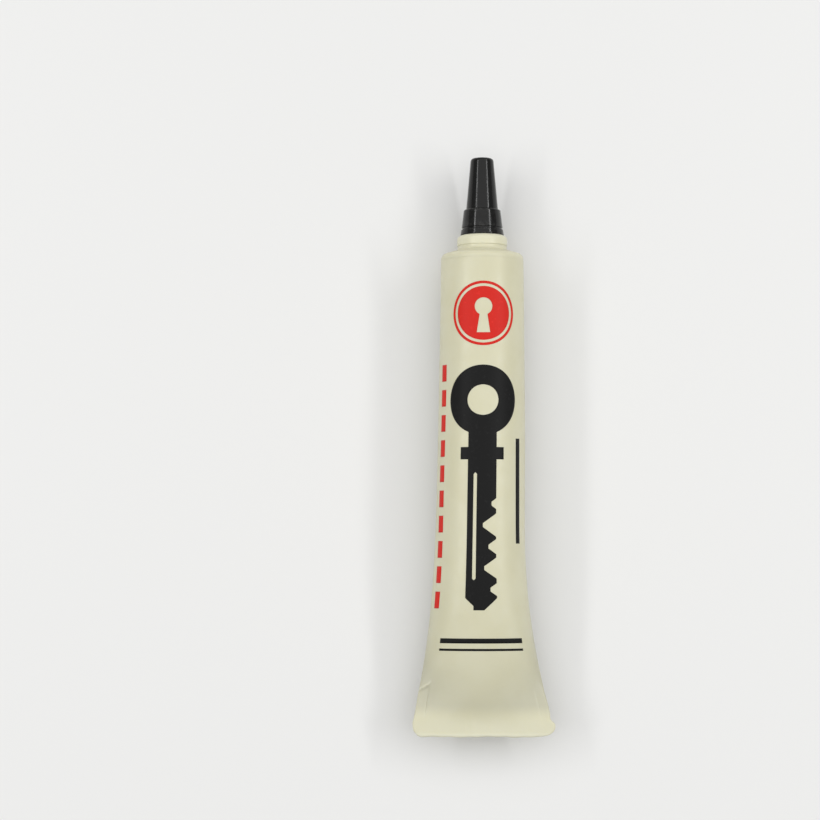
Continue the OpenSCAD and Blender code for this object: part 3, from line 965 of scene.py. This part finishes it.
CAP_BLACK = (0.004, 0.004, 0.0036)
SCRATCH_BLACK = (0.016, 0.016, 0.015, 1.0)
RUBBED_BLACK = (0.036, 0.036, 0.034, 1.0)
cap_finish = Finish("cap_polyethylene", CAP_BLACK, 0.15, **{"IOR": 1.50, "Specular IOR Level": 0.30})
cap_cloud = cap_finish.noise(scale=330.0, detail=6.0, roughness=0.65)
cap_grain = cap_finish.noise(scale=3200.0, detail=2.0)
cap_scratch = cap_finish.noise(scale=1.0, detail=5.0, roughness=0.7, stretch=(2400.0, 240.0, 2400.0))
cap_patches = cap_finish.noise(scale=900.0, detail=6.0, roughness=0.75)
cap_wear = cap_finish.span(cap_patches, (0.42, 0.66), (0.0, 1.0))
cap_rub = cap_finish.worked("MULTIPLY", cap_finish.kept("edge_rub"), cap_wear)
cap_tone = cap_finish.mix(
    cap_finish.span(cap_scratch, (0.58, 0.80), (0.0, 1.0)), (*CAP_BLACK, 1.0), SCRATCH_BLACK)
skin_rough = cap_finish.span(cap_cloud, (0.32, 0.70), (0.11, 0.19))
rub_rough = cap_finish.span(cap_rub, (0.0, 1.0), (0.0, 0.15))
cap_finish.set(cap_finish.shader, {
    "Base Color": cap_finish.mix(cap_rub, cap_tone, RUBBED_BLACK),
    "Roughness": cap_finish.worked("ADD", skin_rough, rub_rough),
})
cap_finish.relief((cap_grain, 0.00002, 0.25), (cap_cloud, 0.00006, 0.15))

CAP_HEIGHT = CAP_TOP - CAP_FOOT
CAP_EDGE_RADIUS = 3.02
CAP_EDGE_DROP = 0.18
CAP_EDGE_ROUND = 0.85
CONE_FOOT = 6.95
CONE_FOOT_RADIUS = 4.25
SKIRT_TOP = 6.85
SKIRT_TOP_RADIUS = 4.9
SKIRT_FOOT = 2.12
SKIRT_FOOT_RADIUS = 5.46
CAP_GROOVE_TOP = 2.02
CAP_GROOVE_TOP_RADIUS = 5.22
CAP_GROOVE_FOOT = 1.66
CAP_GROOVE_FOOT_RADIUS = 5.24
LIP_TOP = 1.56
LIP_TOP_RADIUS = 5.58
LIP_RADIUS = 5.85
CAP_BORE = LAND_RADIUS + FIT_PLAY
CAP_BORE_TOP = 5.3
HOLLOW_FOOT_RADIUS = 3.45
HOLLOW_TOP_RADIUS = 2.2
HOLLOW_TOP = 19.4
PIN_RADIUS = 0.7
PIN_FOOT = 17.4
POLE_ROUND = 0.0001
DIMPLE_DEPTH = 0.10
DIMPLE_SPREAD = 0.45
cap_outline = rounded_outline([
    (0.0, CAP_HEIGHT, POLE_ROUND),
    (CAP_EDGE_RADIUS, CAP_HEIGHT - CAP_EDGE_DROP, CAP_EDGE_ROUND),
    (CONE_FOOT_RADIUS, CONE_FOOT, 0.22),
    (SKIRT_TOP_RADIUS, SKIRT_TOP, 0.32),
    (SKIRT_FOOT_RADIUS, SKIRT_FOOT, 0.10),
    (CAP_GROOVE_TOP_RADIUS, CAP_GROOVE_TOP, 0.06),
    (CAP_GROOVE_FOOT_RADIUS, CAP_GROOVE_FOOT, 0.06),
    (LIP_TOP_RADIUS, LIP_TOP, 0.10),
    (LIP_RADIUS, 0.0, 0.22),
    (CAP_BORE, 0.0, 0.18),
    (CAP_BORE, CAP_BORE_TOP, 0.10),
    (HOLLOW_FOOT_RADIUS, CAP_BORE_TOP, 0.15),
    (HOLLOW_TOP_RADIUS, HOLLOW_TOP, 0.30),
    (PIN_RADIUS, HOLLOW_TOP, 0.20),
    (PIN_RADIUS, PIN_FOOT, 0.28),
    (0.0, PIN_FOOT, POLE_ROUND),
])
# The outline ends on the axis, so the stretch along the axis back to its start is left out.
cap_outline = cap_outline[:-len(STRETCH_SHARES)]
cap_outline[:, 0] = np.maximum(cap_outline[:, 0], 0.0)
dimple = DIMPLE_DEPTH * bump(cap_outline[:, 0], 0.0, DIMPLE_SPREAD)
cap_outline[:, 1] -= dimple * (cap_outline[:, 1] > HOLLOW_TOP)
cap_skin = revolve(cap_outline, CAP_BASE)
cap = make_piece(
    "push_on_cap", cap_skin, ring_quads(*cap_skin.shape[:2]), cap_finish.material,
    "cap", ("cap",))

# Radius and place of the edges that fingers and pockets rub.
RUBBED_EDGES = np.array([(2.9, 20.75), (4.86, 6.8), (5.45, 2.12), (5.58, 1.56), (5.82, 0.05)])
RUB_SPREAD = 0.34
across, along, up = points_of(cap)
out_from_edge = np.hypot(across, up)[:, None] - RUBBED_EDGES[:, 0]
up_from_edge = along[:, None] - CAP_BASE - RUBBED_EDGES[:, 1]
edge_away = np.hypot(out_from_edge, up_from_edge).min(axis=1)
keep_values(cap, "edge_rub", bump(edge_away, 0.0, RUB_SPREAD))

# Floor, light and camera
# The tube lies on a plain pale table under a broad soft ceiling and between two narrow soft boxes.
# The camera looks down on it from a little towards its sealed end.

TABLE_HALF = 15.0
TABLE_CORNERS = np.array([(-1.0, -1.0, 0.0), (1.0, -1.0, 0.0), (1.0, 1.0, 0.0), (-1.0, 1.0, 0.0)])
floor_mesh = bpy.data.meshes.new("table")
floor_mesh.from_pydata((TABLE_HALF * TABLE_CORNERS).tolist(), [], [(0, 1, 2, 3)])
floor = bpy.data.objects.new("table", floor_mesh)
bpy.context.scene.collection.objects.link(floor)
floor_mesh.materials.append(Finish("pale_table", colour=(0.80, 0.80, 0.79), roughness=0.7).material)

SKY_STRENGTH = 0.36
world = bpy.data.worlds.new("studio")
world.use_nodes = True
world.node_tree.nodes["Background"].inputs["Color"].default_value = (1.0, 1.0, 1.0, 1.0)
world.node_tree.nodes["Background"].inputs["Strength"].default_value = SKY_STRENGTH
bpy.context.scene.world = world
bpy.context.scene.view_settings.view_transform = "Standard"

BOX_LENGTH = 0.70
BOX_WIDTH = 0.06


def soft_box(name, place, power):
    """A long soft light at a place in metres, aimed at the tube's middle."""
    light = bpy.data.lights.new(name, "AREA")
    light.shape = "RECTANGLE"
    light.size = BOX_LENGTH
    light.size_y = BOX_WIDTH
    light.energy = power
    lamp = bpy.data.objects.new(name, light)
    lamp.location = place
    aim = np.array([0.0, 0.0, SLEEVE_RADIUS * MILLIMETRE]) - np.array(place)
    tilt = np.arctan2(np.hypot(aim[0], aim[1]), -aim[2])
    lamp.rotation_euler = (tilt, 0.0, np.arctan2(aim[1], aim[0]) - np.pi / 2)
    bpy.context.scene.collection.objects.link(lamp)


soft_box("left_box", place=(-0.56, 0.10, 0.52), power=1.2)
soft_box("right_box", place=(0.56, 0.12, 0.52), power=1.4)

CEILING_POWER = 1.42
CEILING_SPREAD = radians(92.0)
CEILING_TILT = radians(-13.0)
ceiling_light = bpy.data.lights.new("ceiling", "SUN")
ceiling_light.energy = CEILING_POWER
ceiling_light.angle = CEILING_SPREAD
ceiling = bpy.data.objects.new("ceiling", ceiling_light)
ceiling.rotation_euler = (CEILING_TILT, 0.0, 0.0)
bpy.context.scene.collection.objects.link(ceiling)

PICTURE_PIXELS = 820.0
TUBE_PIXEL_ACROSS = 482.5
TUBE_PIXEL_DOWN = 445.5
PIXEL = 0.2663
VIEW_DISTANCE = 620.0
VIEW_TILT = radians(3.6)
SENSOR_WIDTH = 36.0
aim_across = (PICTURE_PIXELS / 2 - TUBE_PIXEL_ACROSS) * PIXEL
aim_along = (TUBE_PIXEL_DOWN - PICTURE_PIXELS / 2) * PIXEL
aim_at = np.array([aim_across, aim_along, SLEEVE_RADIUS])
eye = aim_at + VIEW_DISTANCE * np.array([0.0, -np.sin(VIEW_TILT), np.cos(VIEW_TILT)])
camera_data = bpy.data.cameras.new("view")
camera_data.sensor_width = SENSOR_WIDTH
camera_data.lens = SENSOR_WIDTH * VIEW_DISTANCE / (PICTURE_PIXELS * PIXEL)
camera_data.clip_start = 0.01
camera = bpy.data.objects.new("view", camera_data)
camera.location = eye * MILLIMETRE
camera.rotation_euler = (VIEW_TILT, 0.0, 0.0)
bpy.context.scene.collection.objects.link(camera)
bpy.context.scene.camera = camera

bpy.context.view_layer.update()
